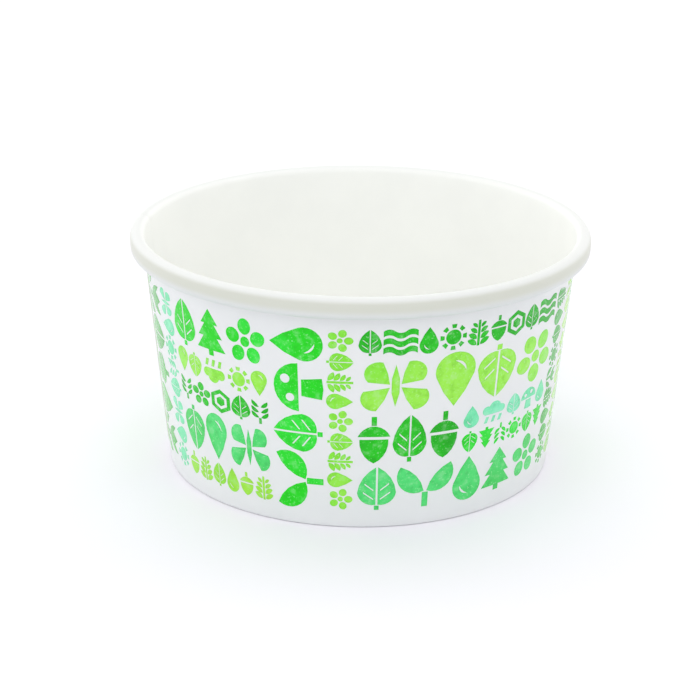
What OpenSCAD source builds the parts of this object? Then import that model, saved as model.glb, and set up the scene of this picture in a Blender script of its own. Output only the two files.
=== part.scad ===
// Paper dessert cup: a side wall rolled from one sector of coated board, with a lapped side seam,
// a rolled rim and a folded foot, and a drawn base whose skirt is sealed into that foot.
// Millimetres, +Z up, origin at the centre of the circle that the foot stands on.

/* [Cup] */
// Diameter over the rolled rim
rim_d = 95; // [90:0.5:105]
// Diameter of the wall at the table
base_d = 80; // [70:0.5:84]
// Height from the table to the top of the rim
height = 50; // [40:0.5:75]

/* [Board] */
// Thickness of the wall's board with its coating
wall_t = 0.35; // [0.25:0.01:0.45]
// Thickness of the base's board with its coating
base_t = 0.3; // [0.2:0.01:0.4]
// Film of melted coating between two boards that are sealed together
bond_t = 0.02; // [0.01:0.01:0.04]

/* [Rolled rim] */
// Width of the rim's bead, from the food side of the wall to its outermost point
bead_w = 3; // [2.6:0.1:3.6]
// Height of the rim's bead
bead_h = 4.4; // [4:0.1:5.4]
// Length of the board's top edge that is tucked up inside the bead
tuck_l = 1; // [0.5:0.1:1.4]
// Air between the tucked edge and the wall
tuck_gap = 0.1; // [0.06:0.02:0.2]

/* [Foot and base] */
// Height of the base's underside above the table
recess = 6; // [5:0.5:9]
// Distance from the cut edge of the hem, the board folded up inside the foot, to the base above it
hem_gap = 1.4; // [1.2:0.1:2.5]
// Radius of the drawn corner between the base and its skirt
corner_r = 1; // [0.7:0.1:1.4]
// Inner radius of the two creases that fold the foot
crease_r = 0.05; // [0.03:0.01:0.08]
// Height of the skirt's cut edge above the fold that it stands in
skirt_gap = 0.2; // [0.1:0.05:0.5]

/* [Side seam] */
// Direction of the seam's inner cut edge, counter-clockwise from +X
seam_a = 173; // [0:1:359]
// Width of the lap, between its two cut edges
lap_w = 7; // [5:0.5:9]
// Width over which the outer board comes down to the wall, past the inner cut edge
ramp_w = 2.5; // [2:0.5:4]
// Distance by which the outer board's edges stand back from the inner board's, at the hem and the tuck
lap_trim = 0.2; // [0.1:0.1:0.4]
// Width of the open line beside the inner cut edge
nick_w = 0.4; // [0.2:0.1:0.8]
// Depth of that line
nick_h = 0.15; // [0.08:0.01:0.15]

/* [Hidden] */
$fn = 180;
paper = [0.96, 0.965, 0.95];
bend_steps = 8; // chords in a quarter bend
clear = 1;      // how far a cut runs past what it cuts

rim_r = rim_d / 2;
base_r = base_d / 2;
foot_corner = [base_r, 0];

// The rim's top bend, whose food side is its outer radius
top_r = bead_w / 2;
top_c = [rim_r - top_r, height - top_r];

// The wall's outer face starts at the foot corner and its food side touches the top bend
lean = acos((top_r - wall_t) / norm(top_c - foot_corner)) - atan2(top_c.y, top_c.x - base_r);
up = [sin(lean), cos(lean)];
out = [cos(lean), -sin(lean)];

// The rim's lower bend, which touches the rim's outermost line and stays off the wall by the gap
under_r = ((rim_r - base_r) * cos(lean) - (height - bead_h) * sin(lean) - tuck_gap)
    / (1 + cos(lean) + sin(lean));
under_c = [rim_r - under_r, height - bead_h + under_r];

// The two creases of the foot, and the pocket between them that takes the base's skirt
pocket_w = base_t + 2 * bond_t;
crease_z = wall_t + crease_r;
outer_crease = wall_point(rise(crease_z, -crease_r), -crease_r);
inner_crease = outer_crease - [(pocket_w - 2 * crease_r) / cos(lean), 0];

// The base's skirt and its drawn corner
skirt_depth = -bond_t;
skirt_z = crease_z + skirt_gap;
corner_z = recess + base_t - corner_r;
corner_c = wall_point(rise(corner_z, skirt_depth - corner_r), skirt_depth - corner_r);

// The seam's widths are those at half the cup's height
mid_r = wall_r(height / 2);
lap_a = lap_w / mid_r * 180 / PI;
nick_a = nick_w / mid_r * 180 / PI;
lap_t = wall_t / cos(lean);
lap_low = crease_z + wall_t;
lap_root = 0.6 * wall_t;

// The ramp ends under the rim's bead. Its face is a slender cone inside the wall, and ramp_inset says
// how much smaller that cone's radius is than the wall's.
ramp_high = height - bead_h;
ramp_inset = mid_r / (1 + pow(ramp_w, 2) / (2 * lap_t * mid_r));

// Point on the wall's section, at a length up the slope and a depth into the board from its food side
function wall_point(length_up, depth) = foot_corner + length_up * up + (depth - wall_t) * out;

// Length up the slope at which a depth in the board lies at height z
function rise(z, depth) = (z + (depth - wall_t) * sin(lean)) / cos(lean);

// Outer radius of the wall at height z
function wall_r(z) = base_r + z * tan(lean);

function bend(centre, r, from, to) =
    let (steps = ceil(abs(to - from) / 90 * bend_steps))
    [for (i = [0:steps]) let (a = from + (to - from) * i / steps) centre + r * [cos(a), sin(a)]];

function reversed(points) = [for (i = [len(points) - 1:-1:0]) points[i]];

// Lines through the board at a depth from its food side: down the hem to the foot's fold, and over the
// rim and under it. The straight runs lie between the bends.
function hem_line(depth, top) = [
    inner_crease - (crease_r + depth) * out + (top - inner_crease.y) / cos(lean) * up,
    inner_crease - (crease_r + depth) * out
];
function bead_line(depth, end_a) = concat(
    bend(top_c, top_r - depth, 180 - lean, 0),
    bend(under_c, under_r - depth, 0, end_a)
);
function tuck_end(depth, length) = under_c - (under_r - depth) * out + length * up;

// The whole board in section, from the hem's cut edge to the tucked one
module board_section() {
    line_at = function (depth)
        concat(
            hem_line(depth, recess - hem_gap),
            bend(inner_crease, crease_r + depth, -180 - lean, -90),
            bend(outer_crease, crease_r + depth, -90, -lean),
            bead_line(depth, -180 - lean),
            [tuck_end(depth, tuck_l)]
        );
    polygon(concat(line_at(0), reversed(line_at(wall_t))));
}

// The seam's outer board, rooted in the inner one: from the foot up over the rim, and inside the hem.
// The fold between them is pressed to the height of one board, so that the foot stays level.
module lap_section() {
    rim_line = function (depth)
        concat(
            [wall_point(rise(lap_low, depth), depth)],
            bead_line(depth, -180 - lean),
            [tuck_end(depth, tuck_l - lap_trim)]
        );
    polygon(concat(rim_line(lap_root), reversed(rim_line(2 * wall_t))));
    polygon(concat(
        hem_line(lap_root, recess - hem_gap - lap_trim),
        reversed(hem_line(2 * wall_t, recess - hem_gap - lap_trim))
    ));
}

// The open line beside the inner cut edge, from the base's corner up the food side and over the rim
module nick_section() {
    line_at = function (depth)
        concat([wall_point(rise(corner_z, depth), depth)], bead_line(depth, -90));
    polygon(concat(line_at(-nick_h), reversed(line_at(nick_h))));
}

// A solid cone with the wall's own slope, whose surface lies inside the wall's outer face by inset
module wall_cone(inset, low, high) {
    rotate_extrude()
        polygon([
            [0, low],
            [wall_r(low) - inset, low],
            [wall_r(high) - inset, high],
            [0, high]
        ]);
}

// The outer board where it comes down to the wall, past the seam's inner cut edge. It starts well
// inside the lap, and lies lower there than the outer board by the film of coating.
module ramp() {
    difference() {
        translate([ramp_inset + lap_t - bond_t, 0, 0])
            wall_cone(ramp_inset, lap_low, ramp_high);
        wall_cone(lap_t / 2, lap_low - clear, ramp_high + clear);
        translate([0, lap_w / 4, -clear])
            cube([rim_d, rim_d, height]);
    }
}

module side_wall() {
    color(paper)
        difference() {
            union() {
                rotate_extrude() board_section();
                rotate([0, 0, seam_a]) {
                    rotate_extrude(angle = lap_a) lap_section();
                    ramp();
                }
            }
            rotate([0, 0, seam_a - nick_a])
                rotate_extrude(angle = nick_a) nick_section();
        }
}

module base() {
    skirt_line = function (depth)
        concat(
            [wall_point(rise(skirt_z, depth), depth)],
            bend(corner_c, corner_r + depth - skirt_depth, -lean, 90),
            [[0, corner_c.y + corner_r + depth - skirt_depth]]
        );
    color(paper)
        rotate_extrude()
            polygon(concat(skirt_line(skirt_depth), reversed(skirt_line(skirt_depth - base_t))));
}

side_wall();
base();
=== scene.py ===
import bmesh
import bpy
from itertools import cycle
from math import acos, atan2, ceil, cos, degrees, pi, radians, sin, tan
from mathutils import Euler, Matrix, Vector


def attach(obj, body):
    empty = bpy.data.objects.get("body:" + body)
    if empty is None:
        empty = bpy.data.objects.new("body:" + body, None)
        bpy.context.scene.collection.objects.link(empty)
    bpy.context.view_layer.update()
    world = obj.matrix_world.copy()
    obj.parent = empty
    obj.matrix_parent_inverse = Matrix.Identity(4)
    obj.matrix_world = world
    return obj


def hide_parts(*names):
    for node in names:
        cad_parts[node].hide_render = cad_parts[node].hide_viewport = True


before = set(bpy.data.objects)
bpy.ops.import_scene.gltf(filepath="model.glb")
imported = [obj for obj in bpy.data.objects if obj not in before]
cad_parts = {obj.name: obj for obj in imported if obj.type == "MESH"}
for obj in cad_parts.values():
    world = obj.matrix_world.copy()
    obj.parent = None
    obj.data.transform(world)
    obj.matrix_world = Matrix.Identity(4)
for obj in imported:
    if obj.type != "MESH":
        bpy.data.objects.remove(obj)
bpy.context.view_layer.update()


# Side wall. One sector of coated board is wrapped into a cone, its ends lapped and sealed as the side seam.
# Its top is rolled outwards into the rim's bead with the raw edge tucked up inside, and its bottom is folded
# in and up as the foot's hem. Here too a flat blank gets its thickness first and is then carried onto the cup.
rim_r, foot_r, height = 47.5, 40.0, 50.0
board, film = 0.35, 0.02
bead_w, bead_h, tuck, tuck_gap = 3.0, 4.4, 1.0, 0.1
hem_top, crease_r, pocket, knurl_pitch = 4.6, 0.05, 0.34, 1.3
pressed_low, pressed_high, out_of_round = 0.4, 2.9, 0.1
seam_a, mid_r, lap_w, ramp_w = 173, 42.5, 7.0, 2.5
lap_a, ramp_a = degrees(lap_w / mid_r), degrees(ramp_w / mid_r)

top_c = Vector((rim_r - bead_w / 2, height - bead_w / 2))
slope = top_c - Vector((foot_r, 0))
lean = acos((bead_w / 2 - board) / slope.length) - atan2(slope.y, slope.x)
up, out = Vector((sin(lean), cos(lean))), Vector((cos(lean), -sin(lean)))
under_r = (rim_r - foot_r) * cos(lean) - (height - bead_h) * sin(lean) - tuck_gap
under_r /= 1 + cos(lean) + sin(lean)
under_c = Vector((rim_r - under_r, height - bead_h + under_r))


def wall_point(length_up, depth):
    """Point of the wall's section: mm up the slope, and mm into the board from its food side."""
    return Vector((foot_r, 0)) + length_up * up + (depth - board) * out


def level_point(z, depth):
    """Point of the wall's section at height z and a depth in the board."""
    return wall_point((z + (depth - board) * sin(lean)) / cos(lean), depth)


def bend(centre, radius, start, end, steps):
    """Points of an arc with their outward directions."""
    for k in range(steps + 1):
        angle = start + (end - start) * k / steps
        ray = Vector((cos(angle), sin(angle)))
        yield centre + radius * ray, ray


def smooth(x):
    """0 below 0, 1 above 1 and a soft step between them."""
    x = min(max(x, 0), 1)
    return x * x * (3 - 2 * x)


def on_cup(turn, spot, into, depth, curl=0):
    """Where a point of the blank comes to lie. turn is in degrees from the inner cut edge, spot and into are a
    point of the section's food side and the direction into the board. Where two boards lap, the fold is
    pressed to one board's height and the tucked edge gives way by one board (curl is its share)."""
    lift = (board + film) * smooth((turn - 360) / ramp_a + 1)
    crowd = max(lift, (board + film) * smooth((lap_a - turn) / ramp_a + 1))
    in_fold = smooth((pressed_high - spot.y) / (pressed_high - pressed_low))
    place = spot + into * (depth + lift) * (1 - in_fold * crowd / (board + crowd))
    angle = radians(seam_a + turn)
    sway = out_of_round / 2 * (1 + cos(2 * angle + 1)) * (place.y / height) ** 2
    radius = place.x + curl * crowd - sway
    return Vector((radius * cos(angle), radius * sin(angle), place.y))


def add_object(name, data):
    thing = bpy.data.objects.new(name, data)
    bpy.context.scene.collection.objects.link(thing)
    return thing


def to_piece(name, bm, materials):
    """Turns a mesh in mm into a finished object of the scene, with hard edges where the board is cut."""
    bmesh.ops.recalc_face_normals(bm, faces=bm.faces[:])
    bmesh.ops.scale(bm, vec=(0.001, 0.001, 0.001), verts=bm.verts[:])
    for face in bm.faces:
        face.smooth = True
    hard_from = radians(35)
    for edge in bm.edges:
        edge.smooth = edge.calc_face_angle(0) < hard_from
    mesh = bpy.data.meshes.new(name)
    bm.to_mesh(mesh)
    bm.free()
    for material in materials:
        mesh.materials.append(material)
    piece = add_object(name, mesh)
    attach(piece, "root")
    return piece


# Marks along the section, from the hem's cut edge to the tucked one: a point of the food side, the direction
# into the board, and the share by which the edge gives way in the bead. Between them lie stations, and the
# turns are the angles round the cup at which the blank's columns come to lie.
fold_steps, bead_steps, lap_steps, round_steps, station_gap = 4, 16, 6, 228, 1.5
outer_crease = level_point(board + crease_r, -crease_r)
inner_crease = outer_crease - Vector(((pocket - 2 * crease_r) / cos(lean), 0))
hem_end = inner_crease - crease_r * out + (hem_top - inner_crease.y) / cos(lean) * up
marks = [(hem_end, -out, 0)]
marks += [(p, ray, 0) for p, ray in bend(inner_crease, crease_r, -pi - lean, -pi / 2, fold_steps)]
marks += [(p, ray, 0) for p, ray in bend(outer_crease, crease_r, -pi / 2, -lean, fold_steps)]
marks += [(p, -ray, 0) for p, ray in bend(top_c, bead_w / 2, pi - lean, 0, bead_steps)]
marks += [(p, -ray, (1 - ray.x) / 2) for p, ray in bend(under_c, under_r, 0, -pi - lean, bead_steps)]
marks += [(under_c - under_r * out + tuck * up, out, 1)]
stations = []
for (p, into, curl), (q, _, _) in zip(marks, marks[1:]):
    steps = max(1, round((q - p).length / station_gap))
    stations += [(p.lerp(q, k / steps), into, curl) for k in range(steps)]
stations.append(marks[-1])
turns = [0]
for stop, steps in ((lap_a, lap_steps), (lap_a + ramp_a, lap_steps), (360 - ramp_a, round_steps),
                    (360, lap_steps), (360 + lap_a, lap_steps)):
    start = turns[-1]
    turns += [start + (stop - start) * (k + 1) / steps for k in range(steps)]

blank = bmesh.new()
bmesh.ops.create_grid(blank, x_segments=len(turns) - 1, y_segments=len(stations) - 1, size=0.5)
bmesh.ops.solidify(blank, geom=blank.faces[:], thickness=board)
blank.normal_update()
for face in blank.faces:
    face.material_index = 1 - round(face.normal.z)  # 0 is the food side, 1 a cut edge, 2 the print side
round_mm = blank.verts.layers.float.new("round_mm")
for vert in blank.verts:
    turn = turns[round((vert.co.x + 0.5) * (len(turns) - 1))]
    spot, into, curl = stations[round((vert.co.y + 0.5) * (len(stations) - 1))]
    vert[round_mm] = radians(turn) * mid_r
    vert.co = on_cup(turn, spot, into, -vert.co.z, curl)


class Shade:
    """A value in a material's nodes. Sums and products of such values add the nodes that work them out."""

    def __init__(self, tree, socket=None):
        self.tree, self.socket = tree, socket

    def node(self, kind, settings=None, inputs=None, output=0):
        node = self.tree.nodes.new("ShaderNode" + kind)
        for name, value in (settings or {}).items():
            setattr(node, name, value)
        for name, value in (inputs or {}).items():
            if isinstance(value, Shade):
                self.tree.links.new(value.socket, node.inputs[name])
            else:
                node.inputs[name].default_value = value
        return Shade(self.tree, node.outputs[output] if node.outputs else None)

    def math(self, operation, *values):
        """The operation on the values, or on this value where none are given."""
        return self.node("Math", {"operation": operation}, dict(enumerate(values or (self,))))

    def __add__(self, other):
        return self.math("ADD", self, other)

    def __sub__(self, other):
        return self.math("SUBTRACT", self, other)

    def __rsub__(self, other):
        return self.math("SUBTRACT", other, self)

    def __mul__(self, other):
        return self.math("MULTIPLY", self, other)

    __radd__, __rmul__ = __add__, __mul__

    def ramp(self, low, high):
        """0 at low, 1 at high and a soft step between them."""
        return self.node("MapRange", {"interpolation_type": "SMOOTHSTEP"}, {0: self, 1: low, 2: high})

    def mix(self, first, second):
        """The first colour where this value is 0 and the second where it is 1."""
        return self.node("Mix", {"data_type": "RGBA"}, {0: self, 6: first, 7: second}, 2)

    def noise(self, size_mm, detail=2):
        """Soft noise about 0.5 whose patches are about size_mm across."""
        where = self.node("TexCoord", output="Object")
        return self.node("TexNoise", {}, {"Vector": where, "Scale": 1000 / size_mm, "Detail": detail})

    def clouds(self, size_mm, first, second, detail=3):
        """Two colours in soft patches."""
        return self.noise(size_mm, detail).ramp(0.35, 0.65).mix(first, second)

    def mm(self, axis):
        """How far along X, Y or Z a point of the piece lies, in mm."""
        where = self.node("TexCoord", output="Object")
        return self.node("SeparateXYZ", {}, {0: where}, axis) * 1000

    def from_axis(self):
        """How far from the cup's axis a point of the piece lies, in mm."""
        x, y = self.mm("X"), self.mm("Y")
        return (x * x + y * y).math("SQRT")

    def attribute(self, name):
        return self.node("Attribute", {"attribute_name": name}, {}, "Fac")

    def bump(self, height, distance_mm):
        inputs = {"Height": height, "Distance": distance_mm / 1000, "Strength": 1}
        return self.node("Bump", {}, inputs, "Normal")

    def surface(self, colour, roughness, normal, varnish=0):
        """The finish of a piece: bare board, or ink with a clear varnish that has most of the gloss."""
        inputs = {"Base Color": colour, "Roughness": roughness, "Normal": normal,
                  "IOR": 1.15 if varnish else 1.45,
                  "Coat Weight": varnish, "Coat Roughness": 0.12, "Coat IOR": 1.3}
        finish = self.node("BsdfPrincipled", {}, inputs, "BSDF")
        self.node("OutputMaterial", {}, {"Surface": finish})


def new_material(name):
    material = bpy.data.materials.new(name)
    material.use_nodes = True
    material.node_tree.nodes.clear()
    return material, Shade(material.node_tree)


# The food side has a film of glossy coating. Over the rim's bead its colour is painted shade, darkest and
# warmest on the bead's outer side, lighter and cooler on its underside, lightest on its top. The print side
# has a matt clay finish, and a cut edge shows the fibres.
white, shaded = (0.955, 0.957, 0.92, 1), (0.94, 0.943, 0.907, 1)
# Painted shade for the bead: the colours of its underside, its outer side and its top.
bead_under_painted_shade, bead_side_painted_shade = (0.765, 0.775, 0.775, 1), (0.69, 0.695, 0.615, 1)
bead_top_painted_shade = (0.825, 0.83, 0.80, 1)
clay, shaded_clay = (0.86, 0.86, 0.865, 1), (0.845, 0.847, 0.852, 1)
pulp, pale_pulp = (0.78, 0.77, 0.73, 1), (0.88, 0.875, 0.84, 1)

food_side, shade = new_material("food side of the board")
tooth = shade.noise(0.5, 4)
in_bead = shade.from_axis().ramp(rim_r - 2.8, rim_r - 1.8)
# Painted shade on the bead: darker than the board, most of all on its outer side, less on its underside and
# top.
painted_bead_shade = shade.mm("Z").ramp(height - 3.8, height - 2.1).mix(bead_under_painted_shade, bead_side_painted_shade)
painted_bead_shade = shade.mm("Z").ramp(height - 1.2, height - 0.3).mix(painted_bead_shade, bead_top_painted_shade)
shade.surface(in_bead.mix(shade.clouds(9, white, shaded), painted_bead_shade), 0.32 + 0.1 * tooth,
              shade.bump(tooth * 0.4 + shade.noise(3) * 0.5, 0.03))

print_side, shade = new_material("print side of the board")
tooth = shade.noise(0.35, 4)
lines = (shade.attribute("round_mm") * (2 * pi / knurl_pitch)).math("SINE")
in_hem = 1 - shade.mm("Z").ramp(hem_top - 0.2, hem_top + 0.2)
on_wall = shade.from_axis().ramp(foot_r - 0.6, foot_r - 0.4)
knurl = lines * in_hem * (1 - on_wall)
shade.surface(shade.clouds(9, clay, shaded_clay), 0.38 + 0.12 * tooth,
              shade.bump(tooth * 0.5 + shade.noise(3) * 0.5 + knurl * 1.2, 0.03))

raw, shade = new_material("raw cut edge")
fibre = shade.noise(0.15, 4)
shade.surface(fibre.ramp(0.3, 0.7).mix(pulp, pale_pulp), 0.85, shade.bump(fibre, 0.04))
side_wall = to_piece("side_wall_board", blank, [food_side, raw, print_side])
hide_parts("side_wall")


# Base. One disc of coated board is drawn in a die, which turns its rim down as a skirt with small pleats at the
# corner. The skirt is sealed between the side wall and the hem, so the base stands above the table. Drawing
# leaves the disc a little lower in the middle.
recess, base_t, corner_r, skirt_low, dip = 6.0, 0.3, 1.0, 0.6, 0.12
pleat_count, pleats_from, pleats_to = 90, 37.6, 38.8
corner_steps, disc_steps, spin_steps, touch = 8, 8, 180, 0.001
corner_c = level_point(recess + base_t - corner_r, -film - corner_r)


def skirt_line(inset):
    """Section of the base at a depth below its food side, from the skirt's cut edge to the axis."""
    corner = [p for p, _ in bend(corner_c, corner_r - inset, -lean, pi / 2, corner_steps)]
    disc_z = corner_c.y + corner_r - inset
    shares = [(k + 1) / disc_steps for k in range(disc_steps)]
    disc = [Vector((corner_c.x * (1 - share), disc_z - dip * smooth(share))) for share in shares]
    return [level_point(skirt_low, -film - inset)] + corner + disc


disc = bmesh.new()
section = skirt_line(0)[::-1] + skirt_line(base_t)
points = [disc.verts.new((p.x, 0, p.y)) for p in section]
for first, second in zip(points, points[1:]):
    disc.edges.new((first, second))
bmesh.ops.spin(disc, geom=disc.verts[:] + disc.edges[:], axis=(0, 0, 1), cent=(0, 0, 0), angle=2 * pi,
               steps=spin_steps, use_merge=True)
bmesh.ops.remove_doubles(disc, verts=disc.verts[:], dist=touch)

drawn, shade = new_material("drawn board")
tooth = shade.noise(0.5, 4)
pleats = (shade.math("ARCTAN2", shade.mm("Y"), shade.mm("X")) * pleat_count).math("SINE")
pleats = pleats * shade.from_axis().ramp(pleats_from, pleats_to)
shade.surface(shade.clouds(11, white, shaded), 0.32 + 0.1 * tooth,
              shade.bump(tooth * 0.4 + shade.noise(7) * 1.5 + pleats * 0.6, 0.03))
base = to_piece("base_disc", disc, [drawn])
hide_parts("base")


# Print. Watery green inks on the outside of the wall, put on the flat blank before it is wrapped: runs of small
# plant, water and weather motifs, large and small, upright, upside down and on their sides. The band leaves
# plain board below the bead and above the table. Each ink is a thin film whose top stands above the board.
print_low, print_high, gap, motif_gap = 4.0, 43.1, 0.9, 0.05
ink_t, ink_top, row_step, chord_turn = 0.05, 0.03, 1.2, 15
panel = pi * mid_r
columns = [radians(turn - lap_a) * mid_r for turn in turns]
rows = [print_low + row_step * k for k in range(ceil((print_high - print_low) / row_step) + 1)]


def mirrored(*corners):
    """A motif's part and its mirror image."""
    return [corners, tuple((-x, y, -sweep) for x, y, sweep in corners)]


def whorl(count, corners, first=0):
    """Copies of a part turned about the middle of the motif."""
    copies = []
    for k in range(count):
        a = radians(first) + 2 * pi * k / count
        copies.append(tuple((x * cos(a) - (y - 0.5) * sin(a), x * sin(a) + (y - 0.5) * cos(a) + 0.5, sweep)
                            for x, y, sweep in corners))
    return copies


def bar(half, low, high):
    return [((-half, low, 0), (half, low, 0), (half, high, 0), (-half, high, 0))]


def dot(x, y, radius):
    return [((x - radius, y, 180), (x + radius, y, 180))]


def hexagon(radius):
    return [tuple((radius * sin(pi * k / 3), 0.5 + radius * cos(pi * k / 3), 0) for k in range(6))]


def ripple(y, thick):
    return [((-0.6, y, -80), (-0.2, y, 80), (0.2, y, -80), (0.6, y, 0),
             (0.6, y - thick, 80), (0.2, y - thick, -80), (-0.2, y - thick, 80), (-0.6, y - thick, 0))]


# Each motif is one unit high and stands on y = 0: its width, then its outlines. A corner holds x, y and the
# degrees that the side after it turns by.
motifs = {
    "leaf": (0.8, mirrored((0.02, 0.12, 96), (0.4, 0.4, 54), (0.02, 1, 0)) + bar(0.05, 0, 0.1)
             + mirrored((0.07, 0.23, 0), (0.28, 0.39, 0), (0.28, 0.425, 0), (0.07, 0.265, 0))
             + mirrored((0.07, 0.44, 0), (0.25, 0.59, 0), (0.25, 0.625, 0), (0.07, 0.475, 0))),
    "drop": (0.7, [((0, 1, 20), (-0.33, 0.42, 215), (0.33, 0.42, 20)),
                   ((-0.18, 0.34, 100), (0.03, 0.13, -40))]),
    "sun": (1.0, dot(0, 0.5, 0.29)
            + whorl(8, ((0.35, 0.43, 0), (0.5, 0.4, 0), (0.5, 0.6, 0), (0.35, 0.57, 0)))),
    "conifer": (0.84, [((0, 1, 0), (-0.25, 0.68, 0), (-0.14, 0.68, 0), (-0.35, 0.4, 0), (-0.2, 0.4, 0),
                        (-0.42, 0.12, 0), (-0.07, 0.12, 0), (-0.07, 0, 0), (0.07, 0, 0), (0.07, 0.12, 0),
                        (0.42, 0.12, 0), (0.2, 0.4, 0), (0.35, 0.4, 0), (0.14, 0.68, 0), (0.25, 0.68, 0))]),
    "flower": (0.98, dot(0, 0.5, 0.11) + whorl(5, ((0.15, 0.5, 168), (0.5, 0.5, 168)), 18)),
    "sprout": (1.14, bar(0.065, 0, 0.34) + mirrored((0.03, 0.37, 150), (0.54, 0.97, 60))),
    "comb": (0.87, hexagon(0.5) + hexagon(0.33) + hexagon(0.2)),
    "waves": (1.2, ripple(0.93, 0.22) + ripple(0.6, 0.22) + ripple(0.27, 0.22)),
    "cloud": (1.3, [((-0.4, 0.38, 0), (0.4, 0.38, 190), (0.34, 0.74, 150), (-0.22, 0.76, 190))]
              + [((x - 0.1, 0, 0), (x + 0.04, 0, 0), (x + 0.12, 0.28, 0), (x - 0.02, 0.28, 0))
                 for x in (-0.33, 0, 0.33)]),
    "acorn": (0.74, [((-0.37, 0.57, 0), (0.37, 0.57, 125)), ((0.33, 0.51, 0), (-0.33, 0.51, 75), (0, 0, 75))]
              + bar(0.06, 0.81, 1)),
    "toadstool": (1.0, [((-0.5, 0.46, 0), (0.5, 0.46, 178)),
                        ((-0.17, 0.4, 0), (-0.22, 0, 30), (0.22, 0, 0), (0.17, 0.4, 0))]
                  + dot(-0.22, 0.63, 0.085) + dot(0.16, 0.72, 0.095)),
    "butterfly": (1.16, [((0, 0.1, 40), (0, 0.9, 40))]
                  + mirrored((0.09, 0.53, 0), (0.5, 0.6, 130), (0.3, 0.97, 25))
                  + mirrored((0.09, 0.47, 20), (0.2, 0.05, 150), (0.43, 0.42, 0))),
    "grain": (0.68, bar(0.05, 0, 0.24) + mirrored((0.04, 0.26, 130), (0.32, 0.5, 40))
              + mirrored((0.04, 0.48, 130), (0.32, 0.72, 40)) + mirrored((0.04, 0.7, 130), (0.3, 0.96, 40))),
    "fern": (0.9, bar(0.05, 0, 1) + mirrored((0.08, 0.04, 80), (0.45, 0.26, 130))
             + mirrored((0.08, 0.27, 80), (0.42, 0.49, 130)) + mirrored((0.08, 0.5, 80), (0.36, 0.7, 130))
             + mirrored((0.08, 0.72, 80), (0.28, 0.9, 130))),
    "tulip": (0.86, [((-0.32, 0.97, 80), (0, 0.44, 80), (0.32, 0.97, 0),
                      (0.15, 0.78, 0), (0, 1, 0), (-0.15, 0.78, 0))]
              + bar(0.055, 0, 0.4) + mirrored((0.09, 0.02, 125), (0.41, 0.5, 40))),
}


def outline_points(corners):
    """The outline of a part, its turning sides as arcs of short chords."""
    points = []
    for (x, y, sweep), (next_x, next_y, _) in zip(corners, corners[1:] + corners[:1]):
        start, chord = Vector((x, y)), Vector((next_x - x, next_y - y))
        points.append(start)
        if sweep:
            half = radians(sweep) / 2
            centre = start + chord / 2 + Vector((-chord.y, chord.x)) / (2 * tan(half))
            steps = ceil(abs(sweep) / chord_turn)
            for k in range(1, steps):
                points.append(centre + Matrix.Rotation(2 * half * k / steps, 2) @ (start - centre))
    return points


def stamp(sheet, outlines, place):
    """Prints one motif on the flat sheet and cuts it into small cells, so that it can follow the wall."""
    edges = []
    for corners in outlines:
        verts = [sheet.verts.new(place @ p.to_3d()) for p in outline_points(corners)]
        edges += [sheet.edges.new(pair) for pair in zip(verts, verts[1:] + verts[:1])]
    filled = bmesh.ops.triangle_fill(sheet, edges=edges, use_beauty=True, normal=(0, 0, 1))["geom"]
    faces = [f for f in filled if isinstance(f, bmesh.types.BMFace)]
    verts = list({v for f in faces for v in f.verts})
    geom = verts + list({e for f in faces for e in f.edges}) + faces
    for axis, cuts in enumerate((columns, rows)):
        low, high = min(v.co[axis] for v in verts), max(v.co[axis] for v in verts)
        normal = Vector((axis == 0, axis == 1, 0))
        for cut in cuts:
            if low < cut < high:
                geom = bmesh.ops.bisect_plane(sheet, geom=geom, plane_co=normal * cut, plane_no=normal,
                                              dist=touch)["geom"]


def lay(plan, left, low, wide, tall):
    """Divides a field of the print by its plan and fills each run with its motifs."""
    if plan[0] in ("across", "down"):
        room = (wide if plan[0] == "across" else tall) - gap * (len(plan) - 2)
        total = sum(size for size, _ in plan[1:])
        for size, part in plan[1:]:
            span = room * size / total
            if plan[0] == "across":
                lay(part, left, low, span, tall)
                left += span + gap
            else:
                lay(part, left, low + tall - span, wide, span)
                tall -= span + gap
        return
    ink, turn, names = plan
    length, size = (wide, tall) if turn % 180 == 0 else (tall, wide)
    space = motif_gap * size
    row, used = [], -space
    for name in cycle(names.split()):
        step = motifs[name][0] * size + space
        if row and used + step / 2 > length:
            break
        row.append(motifs[name])
        used += step
    stretch = (length + space * (1 - len(row))) / sum(width * size for width, _ in row)
    at = -length / 2
    middle = Matrix.Translation((left + wide / 2, low + tall / 2, 0)) @ Matrix.Rotation(radians(turn), 4, "Z")
    for width, outlines in row:
        step = width * size * stretch
        spot = Matrix.Translation((at + step / 2, -size / 2, 0)) @ Matrix.Diagonal((size * stretch, size, 1, 1))
        stamp(sheets[ink], outlines, middle @ spot)
        at += step + space


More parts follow.
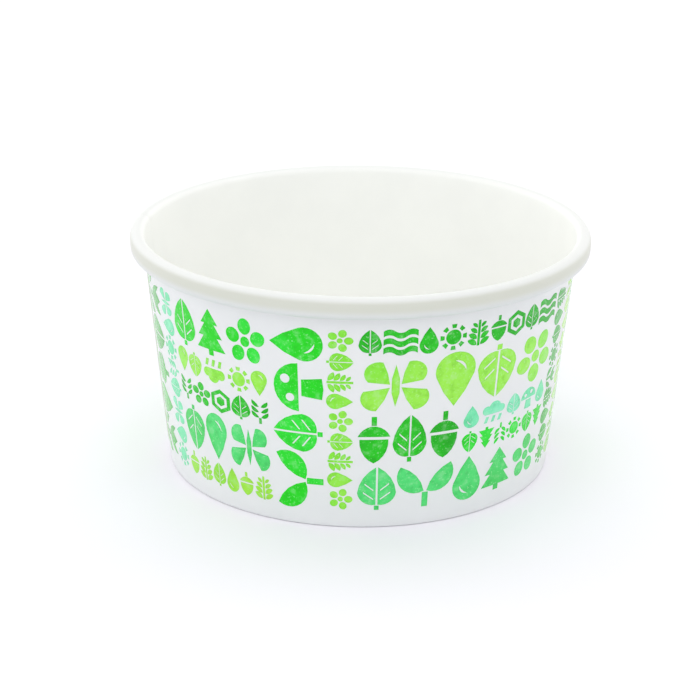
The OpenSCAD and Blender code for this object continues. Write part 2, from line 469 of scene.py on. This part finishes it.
# The plan of one panel, which is printed twice round the cup. Sizes are shares of the room across or down, and
# a run has an ink, the degrees that it is turned by, and the motifs that follow one another in it.
plan = (
    "across",
    (5, ("lime", 90, "drop leaf sprout sun")),
    (9.4, ("deep", 270, "tulip leaf acorn drop")),
    (5, ("mint", 90, "sun drop butterfly leaf grain")),
    (24, ("down",
          (9.5, ("bright", 0, "leaf conifer flower")),
          (5, ("lime", 180, "drop sun cloud leaf")),
          (5, ("deep", 0, "grain flower comb leaf")),
          (9.5, ("sea", 180, "butterfly drop leaf")),
          (5, ("yellow", 0, "acorn fern leaf drop")))),
    (10, ("bright", 90, "sprout leaf toadstool drop")),
    (5, ("lime", 270, "flower leaf fern drop")),
    (46, ("down",
          (5, ("deep", 0, "leaf waves drop sun fern acorn comb")),
          (10.4, ("lime", 180, "flower leaf drop butterfly tulip")),
          (9.4, ("across",
                 (21, ("deep", 0, "acorn leaf")),
                 (25, ("down",
                       (4.6, ("mint", 0, "drop cloud leaf toadstool")),
                       (4.6, ("bright", 180, "conifer leaf sun grain")))))),
          (8.8, ("sea", 0, "leaf sprout drop conifer flower")))),
    (5, ("deep", 270, "fern drop leaf sun tulip")),
    (5, ("yellow", 90, "leaf grain acorn drop")),
    (9, ("bright", 270, "conifer drop flower leaf")),
)

# Each ink runs from one green to another. It is darker where it stands thick, as at the edge of a motif, and
# lighter where it is thin.
inks = {
    "lime": ((0.24, 0.83, 0.04), (0.36, 0.89, 0.08)),
    "yellow": ((0.40, 0.86, 0.06), (0.25, 0.77, 0.04)),
    "bright": ((0.012, 0.72, 0.008), (0.03, 0.84, 0.05)),
    "deep": ((0.006, 0.44, 0.005), (0.016, 0.60, 0.010)),
    "mint": ((0.15, 0.81, 0.39), (0.29, 0.89, 0.58)),
    "sea": ((0.055, 0.66, 0.11), (0.09, 0.77, 0.19)),
}
sheets = {ink: bmesh.new() for ink in inks}
for side in (0, 1):
    lay(plan, side * panel + gap / 2, print_low, panel - gap, print_high - print_low)

for ink, sheet in sheets.items():
    edge = sheet.verts.layers.float.new("edge")
    for vert in sheet.verts:
        vert[edge] = vert.is_boundary
    bmesh.ops.solidify(sheet, geom=sheet.faces[:], thickness=ink_t)
    for vert in sheet.verts:
        turn = lap_a + degrees(vert.co.x / mid_r)
        vert.co = on_cup(turn, wall_point(vert.co.y, 0), out, board + ink_top + vert.co.z)

    wet, shade = new_material("ink " + ink)
    colour, other = inks[ink]
    thick, thin = [0.76 * c for c in colour], [0.6 * c + 0.36 for c in other]
    colour, other, thick, thin = ((*rgb, 1) for rgb in (colour, other, thick, thin))
    streaks, outline = shade.noise(1.6, 3), shade.attribute("edge")
    tint = shade.clouds(16, colour, other, detail=1)
    tint = (streaks.ramp(0.5, 0.25) * 0.5).mix(tint, thick)
    tint = (streaks.ramp(0.5, 0.72) * 0.3).mix(tint, thin)
    tint = (shade.noise(0.4).ramp(0.6, 0.72) * 0.5).mix(tint, thin)
    tint = (outline * outline * outline * 0.4).mix(tint, thick)
    shade.surface(tint, 0.3 + 0.12 * streaks, shade.bump(shade.noise(0.5, 4), 0.012), varnish=1)
    piece = to_piece("print_" + ink, sheet, [wet])
    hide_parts("side_wall")


# Stage. A plain pale floor that runs off to white lies just below the foot, with soft light from both sides,
# from behind and from above. The camera stands as in the photograph.
just_below = Matrix.Translation((0, 0, -0.00005))
floor_mesh = bmesh.new()
bmesh.ops.create_grid(floor_mesh, x_segments=1, y_segments=1, size=2, matrix=just_below)
mesh = bpy.data.meshes.new("floor")
floor_mesh.to_mesh(mesh)
floor_mesh.free()
floor = add_object("floor", mesh)
material, shade = new_material("floor")
mesh.materials.append(material)


def seen(shade):
    """1 for a ray that sees the background, straight or in something shiny or clear, and 0 for its light."""
    kinds = ("Camera", "Glossy", "Transmission")
    return sum(shade.node("LightPath", output=f"Is {kind} Ray") for kind in kinds)


bounce = shade.node("BsdfDiffuse", {}, {"Color": (0.83, 0.835, 0.85, 1)})
pale = shade.node("BsdfDiffuse", {}, {"Color": (0.95, 0.922, 0.963, 1)})
shade.node("OutputMaterial", {}, {"Surface": shade.node("MixShader", {}, {0: seen(shade), 1: bounce, 2: pale})})

# The light's strength by the direction that it comes from: low from the left, the right and behind, higher from
# behind and from the front, and from straight above. What comes from the front is a little cooler.
left, right, behind = 1.62, 1.32, 0.73
high_behind, high_front, overhead = 1.12, 1.4, 1.1
world = bpy.data.worlds.new("studio")
bpy.context.scene.world = world
world.use_nodes = True
world.node_tree.nodes.clear()
shade = Shade(world.node_tree)
direction = shade.node("TexCoord", output="Generated")
x, y, z = (shade.node("SeparateXYZ", {}, {0: direction}, name) for name in ("X", "Y", "Z"))
low = (1 - z.ramp(0, 1)) * (left * (0 - x).ramp(0, 1) + right * x.ramp(0, 1) + behind * y.ramp(0, 1))
high = z.ramp(0, 0.8) * (high_behind * y.ramp(0, 0.8) + high_front * (0 - y).ramp(0, 0.8))
strength = low + high + overhead * z.ramp(0.6, 1)
colour = (0 - y).ramp(-0.5, 0.9).mix((1, 1, 1, 1), (0.95, 0.97, 1, 1))
light = shade.node("Background", {}, {"Color": colour, "Strength": strength})
plain = shade.node("Background", {}, {"Color": (1, 1, 1, 1), "Strength": 1})
shade.node("OutputWorld", {}, {"Surface": shade.node("MixShader", {}, {0: seen(shade), 1: light, 2: plain})})

# Degrees, metres from the middle of the foot, and the lens in mm. The last three turn the camera a little away
# from that middle.
looks_down, distance = radians(23.068), 0.45314
tilt, pan, roll = radians(2.6551), radians(0.2543), radians(0.6045)
lens = bpy.data.cameras.new("camera")
lens.lens, lens.sensor_width = 108.39, 36
camera = add_object("camera", lens)
bpy.context.scene.camera = camera
stand = Vector((0, -cos(looks_down), sin(looks_down))) * distance
aim = (-stand).to_track_quat("-Z", "Y").to_matrix()
nudge = Euler((tilt, pan, roll), "ZXY").to_matrix()
camera.matrix_world = Matrix.Translation(stand) @ (aim @ nudge).to_4x4()
bpy.context.scene.view_settings.view_transform = "Standard"
